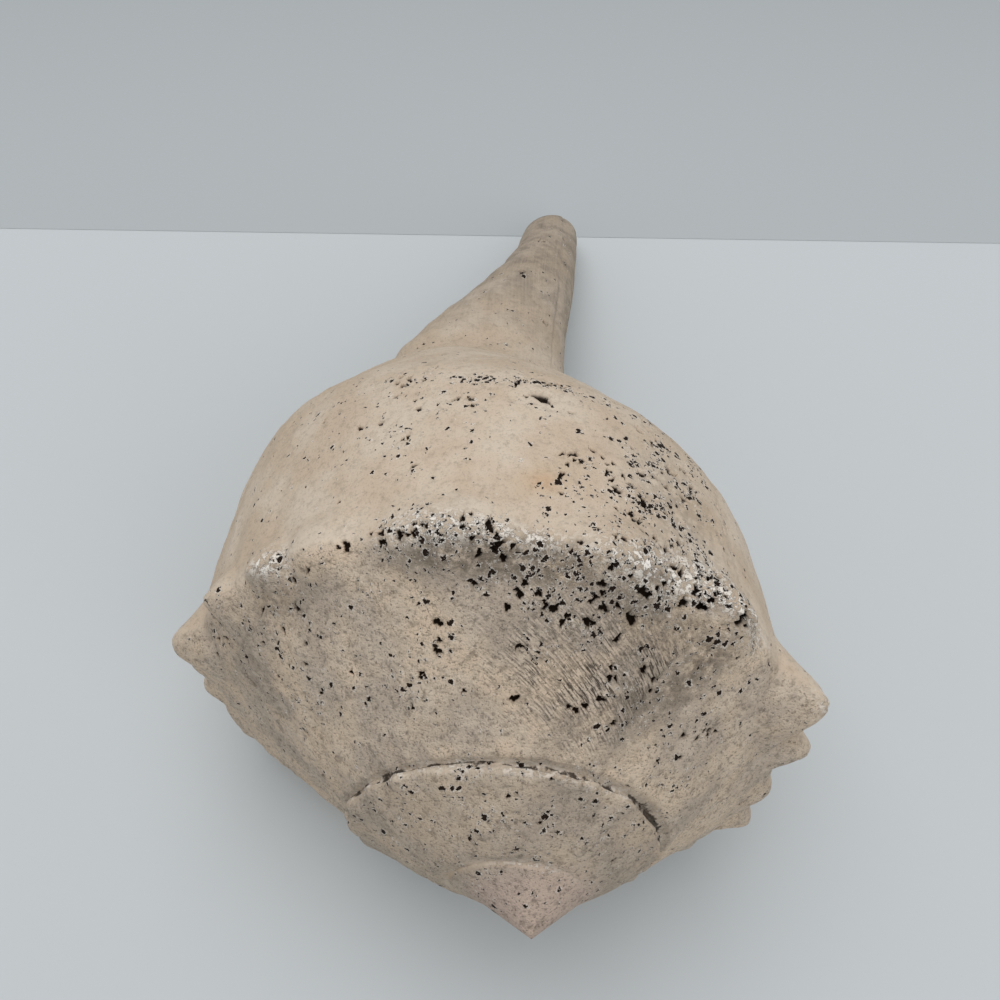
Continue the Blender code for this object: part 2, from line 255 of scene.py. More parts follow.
def mound(offset, roundness):
    """A peak of height 1 that runs down to 0 at an offset of 1, with a pointed or a round top."""
    edge = math.hypot(1.0, roundness)
    return np.maximum(0.0, (edge - np.hypot(offset, roundness)) / (edge - roundness))


def knob_lift(back, along):
    """Height of the knobs at angles back from the lip and distances along the outline."""
    turn = np.floor(back / TAU + 1e-9)
    size = growth(back)
    lift = np.zeros(np.broadcast(back, along).shape)
    early = smooth_step(2.4, 1.5, turn)
    for azimuth, height, after, before, half_length, roundness in KNOBS:
        off = np.degrees(LIP_AZIMUTH - back) - azimuth
        off = (off + 180.0) % 360.0 - 180.0
        young = early * SPIRE_KNOB * size * (0.75 + 0.25 * np.sin(azimuth + 2.0 * turn))
        high = np.where(turn > 0, young, height)
        long = np.where(turn > 0, 7.0 * size, half_length)
        width = np.where(off > 0.0, after, before)
        lift = np.maximum(lift, high * mound(off / width, roundness) * mound(along / long, roundness))
    return lift


def on_axes(back, radius, depth, lift):
    """Points on the outside from their places in the whorl, in millimetres about the axis."""
    azimuth = LIP_AZIMUTH - back
    mx, my = middle_at(depth)
    early = np.clip((back / TAU - 1.15) / 1.1, 0.0, 1.0)
    radius = radius * (1.0 - SPIRE_SLIMMING * early) + 0.94 * lift
    return np.stack((mx + radius * np.cos(azimuth), my + radius * np.sin(azimuth), depth - 0.34 * lift), -1)


def to_table(points):
    """From the shell's own axes in millimetres to its pose on the table in metres."""
    sine, cosine = math.sin(TILT), math.cos(TILT)
    x, y, a = points[..., 0], points[..., 1], points[..., 2]
    return (np.stack((x, y * sine + a * cosine, y * cosine - a * sine), -1) + APEX_PLACE) * MM


def turn_angles():
    """Angles back from the lip through one whorl, closer together on the side that shows."""
    azimuth = np.linspace(math.degrees(LIP_AZIMUTH), math.degrees(LIP_AZIMUTH) - 360.0, 3601)
    seen = (azimuth > SEEN_FROM) & (azimuth < SEEN_TO)
    spacing = np.where(seen, 1.0, 1.0 / HIDDEN_SPACING)
    run = np.concatenate(([0.0], np.cumsum(0.5 * (spacing[1:] + spacing[:-1]))))
    return np.radians(np.interp(np.linspace(0.0, run[-1], COLUMNS + 1), run, np.linspace(0.0, 360.0, 3601)))


def setback_at(row_share):
    """How much of the lip's setback applies, from 0 at the suture to 1 at the shoulder."""
    return np.minimum(1.0, row_share) ** 1.5


def ramp_places(turn, whorl):
    """The surface from suture to waist through one whorl: points, growth angle, fall from the crest."""
    rows = np.concatenate((np.linspace(0.0, CREST_ROW, RAMP_ROWS + 1),
                           np.linspace(CREST_ROW, WAIST_ROW, WAIST_ROWS + 1)[1:]))
    weights = spline_weights(WAIST_ROW + 1, rows)
    start = (turn + TAU * whorl)[:, None]
    ahead = np.maximum(0.0, 1.0 - start / LIP_REACH)
    setback = setback_at(rows / CREST_ROW)
    back = start + LIP_SETBACK * ahead * ahead * setback
    radii, depths = named_points(back)
    radius = (radii * weights).sum(-1)
    depth = (depths * weights).sum(-1)
    size = growth(back)
    along = np.hypot(radius - radii[..., CREST_ROW], depth - depths[..., CREST_ROW]) * size
    lift = knob_lift(back, along) * smooth_step(1.0, 2.0, rows)
    fall = np.where(rows < CREST_ROW, -along, along)
    born = back - LIP_SETBACK * setback
    steps = np.hypot(np.diff(radius, axis=1), np.diff(depth, axis=1)) * size[:, 1:]
    rise = np.concatenate((np.zeros((len(turn), 1)), np.cumsum(steps, 1)), 1)
    if whorl:
        rise = np.minimum(rise, rise[:, -1:] - rise)
    return on_axes(back, radius * size, depth * size, lift), back, born, fall, rise


def flank_places(turn):
    """The last whorl from the waist down to the neck and out along the canal."""
    down = np.arange(1, FLANK_ROWS + 1) / FLANK_ROWS
    out = np.arange(1, CANAL_ROWS) / CANAL_ROWS
    start = turn[:, None]
    ahead = np.maximum(0.0, 1.0 - start / LIP_REACH)
    setback = np.concatenate((np.clip(2.2 * (1.0 - down), 0.0, 1.0), np.zeros(len(out))))
    back = start + LIP_SETBACK * ahead * ahead * setback
    size = growth(back)
    _, depths = named_points(back)
    waist = depths[..., WAIST_ROW] * size
    crest = depths[..., CREST_ROW] * size
    share = 0.75 * down + 0.25 * down * down
    depth = waist[:, :FLANK_ROWS] + (NECK_DEPTH - waist[:, :FLANK_ROWS]) * share
    beyond = NECK_DEPTH + (TIP_DEPTH - NECK_DEPTH) * np.sin(0.5 * math.pi * out) ** 0.8
    depth = np.concatenate((depth, np.broadcast_to(beyond, (len(turn), len(out)))), 1)
    body = size * flank_radius(depth / size)
    radius = smooth_larger(body, canal_radius(LIP_AZIMUTH - back, depth))
    radius = body + (radius - body) * np.clip((depth - 65.0) / 35.0, 0.0, 1.0)
    lift = knob_lift(back, depth - crest)
    born = back - LIP_SETBACK * setback
    fall = depth - crest
    return on_axes(back, radius, depth, lift), back, born, fall, fall + 45.0


class Skin:
    """Points of the outside with their place in the growth of the shell, and the triangles between."""

    def __init__(self):
        self.points = []
        self.places = []
        self.triangles = []
        self.count = 0

    def add(self, points, back, *places):
        """Store points with their growth angle, line of growth, fall and rise, and give their numbers."""
        shape = back.shape
        self.points.append(points.reshape(-1, 3))
        self.places.append(np.stack([v.ravel() for v in (back, *places)], 1))
        numbers = np.arange(self.count, self.count + back.size).reshape(shape)
        self.count += back.size
        return numbers

    def join(self, upper, lower):
        """Triangles between two rows of points, where either may be twice as fine as the other."""
        if len(upper) == len(lower):
            a, b, c, d = upper[:-1], upper[1:], lower[1:], lower[:-1]
            self.triangles += [np.stack((a, b, c), 1), np.stack((a, c, d), 1)]
        elif len(upper) < len(lower):
            a, b = upper[:-1], upper[1:]
            c, d, e = lower[:-2:2], lower[1:-1:2], lower[2::2]
            self.triangles += [np.stack((a, b, d), 1), np.stack((a, d, c), 1), np.stack((b, e, d), 1)]
        else:
            c, d = lower[:-1], lower[1:]
            a, m, b = upper[:-2:2], upper[1:-1:2], upper[2::2]
            self.triangles += [np.stack((a, m, c), 1), np.stack((m, d, c), 1), np.stack((m, b, d), 1)]


def outside():
    """The filled outside: whorls joined at the suture, the last one running out to the canal."""
    skin = Skin()
    turn = turn_angles()
    waist = RAMP_ROWS + WAIST_ROWS
    whorls = int(math.ceil(WHORLS))
    half = COLUMNS // 2
    ids = np.full((whorls, COLUMNS + 1, waist + 1), -1)
    for whorl in range(whorls):
        last = COLUMNS if whorl + 1 <= WHORLS else half
        step = 2 ** whorl
        places = ramp_places(turn, whorl)
        first = step if whorl else 0
        columns = np.arange(first, last + 1, step)
        fine = np.arange(max(1, step // 2) if whorl else 0, last + 1, max(1, step // 2))
        rows = np.arange(1, waist)
        ids[whorl][np.ix_(columns, rows)] = skin.add(*(p[np.ix_(columns, rows)] for p in places))
        ids[whorl][fine, waist] = skin.add(*(p[fine, waist] for p in places))
        if whorl:
            ids[whorl][0] = ids[whorl - 1][COLUMNS]
        if whorl + 1 >= WHORLS:
            free = np.arange(0, last + 1, step)
        elif whorl + 2 >= WHORLS:
            free = np.arange(half + step, COLUMNS + 1, step)
        else:
            continue
        free = free[free > 0] if whorl else free
        ids[whorl][free, 0] = skin.add(*(p[free, 0] for p in places))
    for whorl in range(whorls - 2, -1, -1):
        shared = ids[whorl][:, 0] < 0
        ids[whorl][shared, 0] = ids[whorl + 1][shared, waist]
        ids[whorl + 1][0] = ids[whorl][COLUMNS]
    for whorl in range(whorls):
        last = COLUMNS if whorl + 1 <= WHORLS else half
        step = 2 ** whorl
        columns = np.arange(0, last + 1, step)
        for row in range(waist - 1):
            skin.join(ids[whorl][columns, row], ids[whorl][columns, row + 1])
        fine = np.arange(0, last + 1, max(1, step // 2))
        skin.join(ids[whorl][columns, waist - 1], ids[whorl][fine, waist])

    places = flank_places(turn)
    rows = FLANK_ROWS + CANAL_ROWS - 1
    low = np.full((COLUMNS + 1, rows + 1), -1)
    low[:, 0] = ids[0][:, waist]
    for row in range(1, rows + 1):
        step = 1 if row <= 0.7 * FLANK_ROWS else 2 if row <= FLANK_ROWS else 4
        last = COLUMNS if row < FLANK_ROWS else COLUMNS - step
        columns = np.arange(0, last + 1, step)
        low[columns, row] = skin.add(*(p[columns, row - 1] for p in places))
        if row >= FLANK_ROWS:
            low[COLUMNS, row] = low[0, row]
        upper = low[low[:, row - 1] >= 0, row - 1]
        skin.join(upper, low[low[:, row] >= 0, row])
    rim = low[low[:, rows] >= 0, rows]
    mx, my = middle_at(TIP_DEPTH)
    end = np.zeros(1)
    tip = skin.add(np.array([[mx, my, TIP_DEPTH]]), end, end, end + TIP_DEPTH - 55.0, end + 99.0)[0]
    skin.triangles.append(np.stack((rim[:-1], rim[1:], np.full(len(rim) - 1, tip)), 1))

    last_whorl = whorls - 1
    edge = list(ids[last_whorl - 1][half:, 0][ids[last_whorl - 1][half:, 0] >= 0])
    edge += list(ids[last_whorl][1:half + 1, 0][ids[last_whorl][1:half + 1, 0] >= 0])
    edge += list(ids[last_whorl][half, 1:waist])
    edge = np.array(edge + edge[:1])
    top = SUTURE[1] * growth(TAU * WHORLS) - 0.6
    apex = skin.add(np.array([[0.0, 0.0, top]]), end + TAU * WHORLS, end + TAU * WHORLS, end - 4.0, end + 9.0)[0]
    skin.triangles.append(np.stack((edge[:-1], edge[1:], np.full(len(edge) - 1, apex)), 1))

    lip = list(ids[0][0]) + list(low[0, 1:FLANK_ROWS + 1])
    behind = list(low[COLUMNS, 1:FLANK_ROWS][::-1])
    skin.face = lip + behind
    return skin


def tube_triangles(loops, ends):
    """Triangles of a tube through closed loops of equal length, shut by one point at each end."""
    count, around = loops.shape
    here, there = loops[:-1], loops[1:]
    side = np.roll(here, -1, 1), np.roll(there, -1, 1)
    triangles = [np.stack((here, side[0], side[1]), -1).reshape(-1, 3),
                 np.stack((here, side[1], there), -1).reshape(-1, 3)]
    for loop, end, flip in ((loops[0], ends[0], True), (loops[-1], ends[1], False)):
        a, b = (np.roll(loop, -1), loop) if flip else (loop, np.roll(loop, -1))
        triangles.append(np.stack((a, b, np.full(around, end)), -1))
    return np.concatenate(triangles)


def cavity():
    """The hollow that the animal lived in, swept back from the opening round the pillar."""
    radii, depths = named_points(np.zeros(1))
    shoulder = list(zip(radii[0, 1:], depths[0, 1:]))
    wall = through((*shoulder, *SIDE), 400)
    slope = np.gradient(wall, axis=0)
    slope /= np.linalg.norm(slope, axis=1)[:, None]
    inner = wall + WALL * np.stack([-slope[:, 1], slope[:, 0]], axis=1)
    inner = inner[(inner[:, 1] > 44.0) & (inner[:, 1] < CAVITY_DEPTH) & (inner[:, 0] > PILLAR_RADIUS + 1.5)]
    outer = through(np.concatenate((inner[:: len(inner) // 30], inner[-1:])), 48)
    depth = np.linspace(outer[-1, 1] - 0.7, outer[0, 1] + 0.9, 32)
    parietal = flank_radius(depth * WHORL_GROWTH) / WHORL_GROWTH + GLAZE
    pillar = np.maximum(np.maximum(parietal, PILLAR_RADIUS), 0.5 * (parietal + PILLAR_RADIUS) + 1.0)
    ring = np.concatenate((outer, np.stack((pillar, depth), 1)))
    steps = 130
    back = np.linspace(-CAVITY_AHEAD, CAVITY_TURNS * TAU, steps + 1)
    ends = np.array((-CAVITY_AHEAD - 0.1, CAVITY_TURNS * TAU + 0.25))
    size, azimuth = growth(back)[:, None], LIP_AZIMUTH - back[:, None]
    radius, depth = ring[:, 0] * size, ring[:, 1] * size
    points = np.stack((radius * np.cos(azimuth), radius * np.sin(azimuth), depth), -1).reshape(-1, 3)
    size, azimuth = growth(ends), LIP_AZIMUTH - ends
    radius, depth = CAVITY_MIDDLE[0] * size, CAVITY_MIDDLE[1] * size
    caps = np.stack((radius * np.cos(azimuth), radius * np.sin(azimuth), depth), -1)
    loops = np.arange(len(points)).reshape(steps + 1, -1)
    return np.concatenate((points, caps)), tube_triangles(loops, (len(points), len(points) + 1))


def groove():
    """The open canal's hollow and the slot along its underside."""
    depth = np.linspace(GROOVE[0, 0], GROOVE[-1, 0], 90)
    left, right, top, slot_left, slot_right = (
        through(GROOVE[:, (0, i)], 200)[:, 1] for i in range(1, 6))
    even = through(GROOVE[:, (0, 1)], 200)[:, 0]
    left, right, top, slot_left, slot_right = (
        np.interp(depth, even, v) for v in (left, right, top, slot_left, slot_right))
    _, cy, _, hy = canal_at(np.minimum(depth, TIP_DEPTH - TIP_ROUNDING))
    floor = cy - hy + 2.5
    middle = 0.5 * (top + floor)
    half = 0.5 * (right - left)
    ring = [(slot_left, floor - 26.0), (slot_left, floor - 10.0), (slot_left, floor)]
    for share in np.linspace(0.0, 1.0, 25):
        turn = math.pi * (1.0 - share)
        ring.append((0.5 * (left + right) + half * math.cos(turn), middle + (top - middle) * math.sin(turn)))
    ring += [(slot_right, floor), (slot_right, floor - 10.0), (slot_right, floor - 26.0)]
    points = np.array([np.stack((x, y, depth), -1) for x, y in ring]).transpose(1, 0, 2)
    around = points.shape[1]
    ends = points[(0, -1), :].mean(1)
    loops = np.arange(points.shape[0] * around).reshape(-1, around)
    return np.concatenate((points.reshape(-1, 3), ends)), tube_triangles(loops, (loops.size, loops.size + 1))


def make_object(name, points, triangles):
    """A closed mesh object from points on the shell's own axes and triangles."""
    data = bpy.data.meshes.new(name)
    data.from_pydata(to_table(points).tolist(), [], triangles)
    mesh = bmesh.new()
    mesh.from_mesh(data)
    bmesh.ops.recalc_face_normals(mesh, faces=mesh.faces[:])
    bmesh.ops.triangulate(mesh, faces=mesh.faces[:])
    mesh.to_mesh(data)
    mesh.free()
    made = bpy.data.objects.new(name, data)
    bpy.context.scene.collection.objects.link(made)
    return made


def cut(body, cutters):
    """Take the cutters out of the body, and leave no cutter behind."""
    for cutter in cutters:
        step = body.modifiers.new("cut " + cutter.name, "BOOLEAN")
        step.operation = "DIFFERENCE"
        step.solver = "MANIFOLD"
        step.object = cutter
    seen = body.evaluated_get(bpy.context.evaluated_depsgraph_get())
    data = bpy.data.meshes.new_from_object(seen)
    body.modifiers.clear()
    body.data = data
    for cutter in cutters:
        bpy.data.objects.remove(cutter, do_unlink=True)


CREST_RADIUS = 68.0
SEED = 11


def arc_of(born):
    """Length along the shoulder, in millimetres back from the lip, of a line of growth."""
    rate = math.log(WHORL_GROWTH) / TAU
    return CREST_RADIUS * (1.0 - np.exp(-rate * born)) / rate


def wander(places, size, seed=0):
    """Smooth noise from -1 to 1 over places, with lumps of about one size."""
    shift = 31.7 * seed
    return np.array([noise.noise(Vector(p)) for p in (places / size + shift).tolist()])


def azimuth_of(back):
    """Azimuth in degrees from -120 to 240, for an angle back from the lip."""
    return np.mod(np.degrees(LIP_AZIMUTH - back) + 120.0, 360.0) - 120.0


def patch(azimuth, fall, where):
    """A soft patch on the last whorl, from its azimuth, fall, spreads and strength."""
    middle, low, wide, long, strength = where
    return strength * np.exp(-((azimuth - middle) / wide) ** 2 - ((fall - low) / long) ** 2)


def normals_of(points, triangles):
    """Outward normals at the points."""
    corners = points[triangles]
    across = np.cross(corners[:, 1] - corners[:, 0], corners[:, 2] - corners[:, 0])
    normals = np.zeros_like(points)
    for i in range(3):
        np.add.at(normals, triangles[:, i], across)
    return normals / np.maximum(np.linalg.norm(normals, axis=1), 1e-12)[:, None]


# The worn tip of the spire: where it starts, its radius for each mm beyond, and where it takes over
APEX_TIP = 2.0
APEX_SLOPE = 1.28
APEX_WORN = (13.0, 8.5)

# Lines where growth paused: azimuth at the suture and the step up beyond it, in millimetres
PAUSES = ((66.0, 0.45), (205.0, 0.3), (184.0, 0.25), (160.0, 0.2), (20.0, 0.3), (-15.0, 0.25))

# Worn chalky places on the shoulder: azimuth, fall from the crest, spreads in degrees and mm, strength
CHALKY = (
    (137.0, 0.0, 4.0, 2.2, 1.0),
    (105.0, 0.8, 8.0, 2.4, 1.0),
    (91.0, 0.0, 6.0, 1.6, 0.7),
    (70.0, 0.0, 9.0, 3.4, 1.0),
    (55.0, 0.0, 7.0, 1.8, 0.9),
    (45.0, 1.0, 5.0, 3.4, 0.9),
    (57.0, 4.0, 8.0, 3.0, 0.6),
    (21.0, 0.0, 3.0, 2.0, 0.7),
)


def crack_wave(points):
    """How far up the wall the crack along the suture wanders, in millimetres."""
    return 0.5 * np.maximum(0.0, wander(points, 4.0, 13)) + 0.7 * np.maximum(0.0, wander(points, 1.9, 14))


def suture_share(back, fall):
    """How open the seam nearest to a place is: full round the last whorl, faint on the one before."""
    age = back / TAU - (fall > 0.0)
    faint = 0.75 * smooth_step(2.0, 1.9, age) * np.exp(-((azimuth_of(back) - 95.0) / 35.0) ** 2)
    return np.maximum(smooth_step(1.15, 0.8, age), faint)


def relief(points, places, size):
    """Height of the surface detail in millimetres, over the smooth whorls."""
    back, born, fall, rise = places.T
    azimuth = azimuth_of(back)
    last = (back < TAU).astype(float)
    arc = arc_of(born)
    ramp = smooth_step(1.0, -2.0, fall / size)
    left = smooth_step(120.0, 170.0, azimuth) * last + (1.0 - last)
    height = 0.55 * wander(points, 20.0, 1) + 0.28 * wander(points, 8.0, 2)
    height += (0.12 + 0.14 * ramp + 0.12 * left) * wander(points, 3.2, 3)
    height += (0.04 + 0.08 * ramp) * wander(points, 1.3, 14)
    lines = np.stack((arc, 0.08 * fall, 40.0 * np.floor(back / TAU)), 1)
    wide = 1.0 - smooth_step(45.0, 85.0, fall)
    height += wide * (0.12 + 0.26 * left) * wander(lines, 5.0, 4)
    height += wide * (0.05 + 0.08 * left) * wander(lines, 1.8, 5)
    cords = np.stack((0.035 * arc, fall / size, 0.0 * arc), 1)
    height += ramp * (0.05 + 0.16 * left) * wander(cords, 2.4, 6)
    height += (1.0 - ramp) * wide * 0.07 * wander(cords, 3.5, 7)
    for start, step in PAUSES:
        past = born - (LIP_AZIMUTH - math.radians(start) % TAU) % TAU
        height -= last * step * smooth_step(-0.5, 0.5, CREST_RADIUS * past) * np.exp(-np.maximum(past, 0.0) * 9.0)
    worn = sum(patch(azimuth, fall, where) for where in CHALKY) * last
    height -= np.minimum(worn, 1.0) * (0.2 + 1.5 * np.abs(wander(points, 1.9, 8)))
    height *= size ** 0.75
    early = suture_share(back, fall)
    crack = np.exp(-((rise - crack_wave(points)) / (0.30 + 0.20 * size)) ** 2) * early
    lipped = np.exp(-((rise - 1.8 * size) / (1.1 * size)) ** 2) * early
    rough = wander(points, 3.0, 9)
    height -= (0.35 + 0.3 * rough) * crack
    height += (0.05 + 0.6 * rough) * lipped * size
    below = np.exp(-(fall / (2.6 * size)) ** 2) * (1.0 - last) * early
    height += 1.3 * below * wander(points, 5.5, 10) + 0.55 * below * wander(points, 1.9, 11)
    return height


def worn_apex(points):
    """The earliest whorls, worn down to a smooth cone with a sharp tip."""
    radius = np.hypot(points[:, 0], points[:, 1])
    cone = APEX_SLOPE * np.maximum(0.0, points[:, 2] - APEX_TIP)
    scale = 1.0 + smooth_step(*APEX_WORN, points[:, 2]) * (cone / np.maximum(radius, 1e-6) - 1.0)
    points[:, :2] *= scale[:, None]


def dressed():
    """The outside with its detail, as points, places in the growth, and triangles."""
    skin = outside()
    points = np.concatenate(skin.points)
    places = np.concatenate(skin.places)
    triangles = np.concatenate(skin.triangles)
    normals = normals_of(points, triangles)
    axis = np.stack(middle_at(points[:, 2]), 1)
    if ((points[:, :2] - axis) * normals[:, :2]).sum() < 0.0:
        normals = -normals
    height = relief(points, places, growth(places[:, 0]))
    height *= 1.0 - 0.9 * smooth_step(*APEX_WORN, points[:, 2])
    points = points + normals * height[:, None]
    worn_apex(points)
    return points, places, triangles.tolist() + [skin.face]


def array_of(collection, key, width):
    """A mesh collection's values as an array."""
    values = np.empty(len(collection) * width, dtype=np.float32 if key != "vertices" else np.int32)
    collection.foreach_get(key, values)
    return values.reshape(-1, width)


# Bored places on the last whorl: azimuth, fall from the crest, spreads in degrees and mm, strength
BORED = (
    (104.0, 0.0, 9.0, 4.0, 1.0),
    (88.0, -2.5, 11.0, 5.0, 1.0),
    (70.0, -1.0, 9.0, 5.0, 1.2),
    (59.0, -2.0, 7.0, 4.0, 0.9),
    (47.0, -1.5, 5.0, 4.0, 0.9),
    (75.0, 17.0, 8.0, 6.0, 1.5),
    (64.0, 7.0, 9.0, 7.0, 1.2),
    (60.0, 24.0, 10.0, 11.0, 1.3),
    (108.0, 1.0, 8.0, 2.5, 1.0),
    (85.0, 12.0, 4.0, 3.0, 0.5),
    (110.0, -16.0, 4.0, 4.0, 0.4),
    (119.0, -24.0, 6.0, 3.5, 0.6),
    (86.0, -12.0, 7.0, 6.0, 0.45),
    (76.0, -10.0, 7.0, 6.0, 0.7),
    (66.0, -21.0, 8.0, 7.0, 0.35),
    (137.0, -0.5, 4.0, 2.5, 0.6),
    (150.0, -7.0, 14.0, 6.0, 0.35),
    (117.0, 23.0, 6.0, 6.0, 0.35),
    (100.0, 29.0, 14.0, 8.0, 0.25),
    (95.0, 36.5, 24.0, 1.6, 1.3),
    (122.0, -10.0, 8.0, 5.0, 0.35),
    (150.0, -18.0, 12.0, 8.0, 0.35),
    (40.0, -20.0, 12.0, 10.0, 0.35),
    (98.0, -7.0, 7.0, 6.0, 0.5),
    (112.0, -36.0, 8.0, 4.0, 0.35),
)
STRAY_BORINGS = 0.045
BORING_COUNT = 300
BORING_RADIUS = (0.34, 0.62)

# Single large borings: azimuth, fall from the crest, radius
LARGE_BORINGS = (
    (88.8, 33.0, 1.4),
    (109.8, -14.3, 0.7),
    (111.5, -19.5, 0.6),
    (61.4, -2.8, 0.9),
    (50.9, -2.2, 0.9),
    (71.0, -9.0, 0.8),
    (122.0, -0.8, 0.7),
    (137.5, -8.0, 0.7),
    (110.6, 111.0, 0.8),
    (95.5, -26.0, 0.6),
)


def borings(points, places, triangles, outer):
    """Centres and radii of the borings that sponges left, thickest where the shell was bored."""
    rng = np.random.default_rng(SEED)
    corners = points[triangles]
    area = 0.5 * np.linalg.norm(np.cross(corners[:, 1] - corners[:, 0], corners[:, 2] - corners[:, 0]), axis=1)
    back, _, fall, rise = places[triangles].mean(1).T
    azimuth = azimuth_of(back)
    last = back < TAU
    dense = sum(patch(azimuth, fall, where) for where in BORED) * last
    weight = area * outer * (dense + STRAY_BORINGS) * (rise > 0.8)
    weight *= 0.15 + smooth_step(-0.15, 0.35, wander(corners.mean(1), 5.0, 12))
    chosen = rng.choice(len(triangles), BORING_COUNT, p=weight / weight.sum())
    share = rng.dirichlet((1.0, 1.0, 1.0), BORING_COUNT)
    middles = (corners[chosen] * share[:, :, None]).sum(1)
    radii = BORING_RADIUS[0] + (BORING_RADIUS[1] - BORING_RADIUS[0]) * rng.random(BORING_COUNT) ** 2.2
    radii *= 1.0 + 0.5 * np.minimum(dense[chosen], 1.0) * rng.random(BORING_COUNT)
    large = []
    for where, low, radius in LARGE_BORINGS:
        off = np.hypot((azimuth_of(places[:, 0]) - where), places[:, 2] - low) + 99.0 * (places[:, 0] > TAU)
        large.append((*points[off.argmin()], radius))
    large = np.array(large)
    return np.concatenate((middles, large[:, :3])), np.concatenate((radii, large[:, 3]))


def refined(points, places, triangles, middles, radii):
    """Split the triangles round the borings until each boring has points to be shaped with."""
    for level in range(3):
        edges = np.sort(np.concatenate((triangles[:, (0, 1)], triangles[:, (1, 2)], triangles[:, (2, 0)])), 1)
        edges, where = np.unique(edges, axis=0, return_inverse=True)
        where = where.reshape(3, -1).T
        ends = points[edges]
        length = np.linalg.norm(ends[:, 0] - ends[:, 1], axis=1)
        halfway = ends.mean(1)
        tree = kdtree.KDTree(len(middles))
        for i, middle in enumerate(middles):
            tree.insert(middle, i)
        tree.balance()
        split = np.zeros(len(edges), bool)
        for i in np.nonzero(length > 0.24)[0]:
            for _, j, off in tree.find_range(halfway[i], 2.2):
                if off < 1.25 * radii[j] + 0.35 * length[i] and length[i] > 0.55 * radii[j]:
                    split[i] = True
                    break
        numbers = np.where(split, len(points) + np.cumsum(split) - 1, -1)
        points = np.concatenate((points, halfway[split]))
        places = np.concatenate((places, places[edges[split]].mean(1)))
        triangles = split_triangles(triangles, numbers[where])
    return points, places, triangles


def split_triangles(triangles, middle):
    """Triangles after splitting the sides whose middle point has a number."""
    a, b, c = triangles.T
    ab, bc, ca = middle.T
    parts = []
    cuts = (ab >= 0).astype(int) + (bc >= 0) + (ca >= 0)
    parts.append(triangles[cuts == 0])
    whole = cuts == 3
    a3, b3, c3, d, e, f = (v[whole] for v in (a, b, c, ab, bc, ca))
    parts += [np.stack(t, 1) for t in ((a3, d, f), (d, b3, e), (f, e, c3), (d, e, f))]
    for turn in range(3):
        one = (cuts == 1) & (ab >= 0)
        parts += [np.stack(t, 1) for t in ((a[one], ab[one], c[one]), (ab[one], b[one], c[one]))]
        two = (cuts == 2) & (ab >= 0) & (bc >= 0)
        a2, b2, c2, d, e = (v[two] for v in (a, b, c, ab, bc))
        parts += [np.stack(t, 1) for t in ((d, b2, e), (a2, d, e), (a2, e, c2))]
        a, b, c, ab, bc, ca = b, c, a, bc, ca, ab
    return np.concatenate(parts)


def bore(points, triangles, middles, radii):
    """Sink the borings into the surface, and give each point's share of a boring's depth."""
    normals = normals_of(points, triangles)
    depth = np.zeros(len(points))
    shade = np.zeros(len(points))
    tree = kdtree.KDTree(len(points))
    for i, point in enumerate(points):
        tree.insert(point, i)
    tree.balance()
    rng = np.random.default_rng(SEED + 1)
    for middle, radius in zip(middles, radii):
        found = np.array([i for _, i, _ in tree.find_range(middle, 1.9 * radius)])
        if len(found) == 0:
            continue
        normal = normals[found].mean(0)
        normal /= max(np.linalg.norm(normal), 1e-9)
        along = np.cross(normal, rng.normal(size=3))
        along /= np.linalg.norm(along)
        across = np.cross(normal, along)
        stretch = 1.0 + 0.6 * rng.random()
        off = points[found] - middle
        u, v = off @ along, off @ across
        turn = np.arctan2(v, u)
        lobes = 1.0 + 0.20 * np.sin(3.0 * turn + TAU * rng.random()) + 0.14 * np.sin(5.0 * turn + TAU * rng.random())
        away = np.hypot(u / stretch, v * stretch ** 0.5) / (radius * lobes)
        share = 1.0 - smooth_step(0.72, 1.08, away)
        deep = min(1.5, 1.9 * radius) * (0.75 + 0.25 * rng.random())
        depth[found] = np.maximum(depth[found], deep * share)
        shade[found] = np.maximum(shade[found], share)
    return points - normals * depth[:, None], shade


# Dark stains on the last whorl, just under the shoulder: azimuth, fall, spreads, strength
STAINED = (
    (102.0, -3.6, 12.0, 3.0, 1.3),
    (89.0, -3.2, 9.0, 3.4, 1.15),
    (63.0, -24.0, 5.0, 7.0, 0.55),
    (54.0, -14.0, 5.0, 6.0, 0.55),
    (70.0, -6.0, 10.0, 5.0, 0.8),
    (50.0, -8.0, 6.0, 4.5, 0.8),
    (59.0, -18.0, 9.0, 6.0, 0.45),
    (141.0, -6.0, 9.0, 3.5, 0.6),
    (160.0, -12.0, 10.0, 8.0, 0.4),
    (62.0, 14.0, 12.0, 14.0, 0.45),
)
RUSTED = (88.8, 12.0, 3.5, 2.2, 1.0)
STRIATED = ((82.0, -20.0, 17.0, 11.0, 1.0), (60.0, -16.0, 12.0, 9.0, 1.0))


